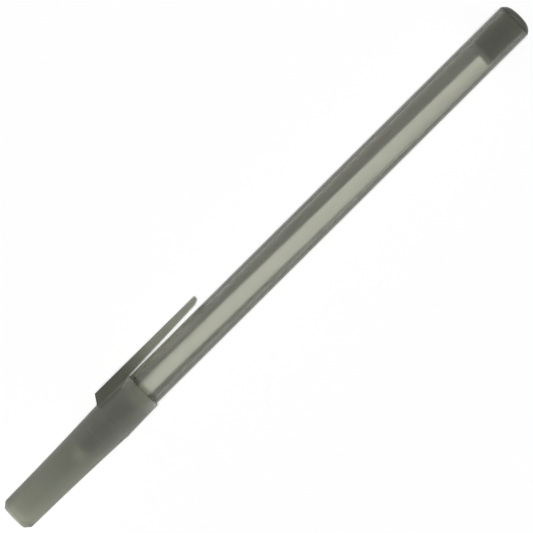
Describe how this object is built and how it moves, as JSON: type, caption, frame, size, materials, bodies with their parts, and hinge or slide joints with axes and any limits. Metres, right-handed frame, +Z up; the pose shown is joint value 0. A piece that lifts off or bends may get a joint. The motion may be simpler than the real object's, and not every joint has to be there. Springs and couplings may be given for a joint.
{
  "type": "stick ballpoint pen",
  "caption": "Slim round stick ballpoint pen with a see-through smoke barrel, a pull-off cap with a pocket clip, a domed end plug and a rolling ball in its metal writing tip.",
  "frame": {"origin": "on the pen's axis, halfway along the straight grip of the barrel", "axes": "+X along the pen's axis towards the tail, with the writing point and the cap towards -X; +Y towards the pocket clip; +Z up from the table that the pen lies on"},
  "size_m": [0.149, 0.0112, 0.0094],
  "materials": {
    "smoke_barrel": "see-through smoke grey, glossy",
    "smoke_plug": "dense smoke grey, glossy",
    "smoke_cap": "see-through smoke grey, satin",
    "black_plastic": "glossy black",
    "nickel_silver": "bright turned metal",
    "ball_carbide": "fine ground grey metal",
    "white_tube": "milky white, satin",
    "black_ink": "wet black paste"
  },
  "bodies": {
    "barrel": {"barrel": "smoke_barrel", "end_plug": "smoke_plug", "point_holder": "black_plastic", "writing_tip": "nickel_silver", "ink_tube": "white_tube", "ink": "black_ink"},
    "cap": {"cap": "smoke_cap"},
    "ball": {"ball": "ball_carbide"}
  },
  "joints": [
    {"name": "cap_slide", "type": "slide", "parent": "barrel", "child": "cap", "axis": [-1, 0, 0], "range_m": [0, 0.045]},
    {"name": "ball_roll", "type": "hinge", "parent": "barrel", "child": "ball", "pos_m": [-0.08682, 0, 0], "axis": [0, 1, 0], "continuous": true}
  ]
}
